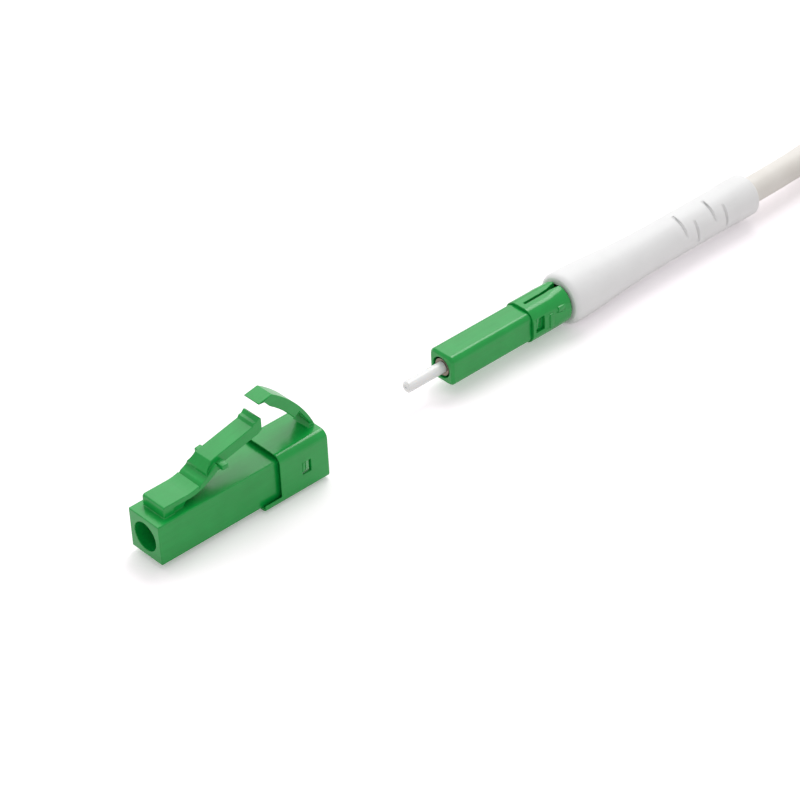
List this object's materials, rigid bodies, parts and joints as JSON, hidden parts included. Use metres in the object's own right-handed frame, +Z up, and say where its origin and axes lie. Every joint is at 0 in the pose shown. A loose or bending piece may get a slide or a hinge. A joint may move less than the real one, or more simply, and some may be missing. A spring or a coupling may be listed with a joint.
{
  "type": "lc fibre connector",
  "caption": "Latched single-fibre connector with angle-polished ferrule, shown with its housing pulled off the plug, and a boot on a jacketed pigtail.",
  "frame": {"origin": "bottom centre of the connector without its free cable, on the surface it lies on", "axes": "+X along the fibre from the mating face to the cable, +Z up towards the latch"},
  "size_m": [0.1835, 0.0282, 0.0142],
  "materials": {
    "green_moulding": "satin",
    "white_ceramic": "polished",
    "nickel": "satin",
    "glass_core": "clear",
    "buffer_white": "satin",
    "aramid_yellow": "matt",
    "boot_white": "matt",
    "jacket_ivory": "satin",
    "tie_black": "satin"
  },
  "bodies": {
    "plug": {"plug_frame": "green_moulding", "retainer": "green_moulding", "spring_stop": "nickel", "ferrule_spring": "nickel", "strength_yarn": "aramid_yellow", "crimp_sleeve": "nickel", "cable_in_boot": "jacket_ivory", "boot": "boot_white", "cable": "jacket_ivory", "cable_tail": "jacket_ivory", "cable_hank": "jacket_ivory", "hank_ties": "tie_black"},
    "housing": {"front_housing": "green_moulding", "rear_housing": "green_moulding"},
    "latch": {"latch_lever": "green_moulding"},
    "trigger": {"trigger": "green_moulding"},
    "ferrule": {"ferrule": "white_ceramic", "ferrule_flange": "nickel", "glass_fibre": "glass_core", "buffered_fibre": "buffer_white"}
  },
  "joints": [
    {"name": "housing_slide", "type": "slide", "parent": "plug", "child": "housing", "axis": [1, 0, 0], "range_m": [0, 0.03295]},
    {"name": "trigger_press", "type": "hinge", "parent": "housing", "child": "trigger", "pos_m": [-0.02165, 0, 0.00616], "axis": [0, -1, 0], "range_deg": [0, 20], "stiffness_Nm_per_rad": 0.01},
    {"name": "latch_press", "type": "hinge", "parent": "housing", "child": "latch", "pos_m": [-0.0372, 0, 0.00577], "axis": [0, 1, 0], "range_deg": [0, 10], "stiffness_Nm_per_rad": 0.002},
    {"name": "ferrule_float", "type": "slide", "parent": "plug", "child": "ferrule", "axis": [1, 0, 0], "range_m": [0, 0.001], "stiffness_N_per_m": 1000, "springref_m": -0.004, "deforming": ["ferrule_spring"]}
  ],
  "couplings": [
    {"joint": "latch_press", "follows": "trigger_press", "ratio": 0.5}
  ]
}
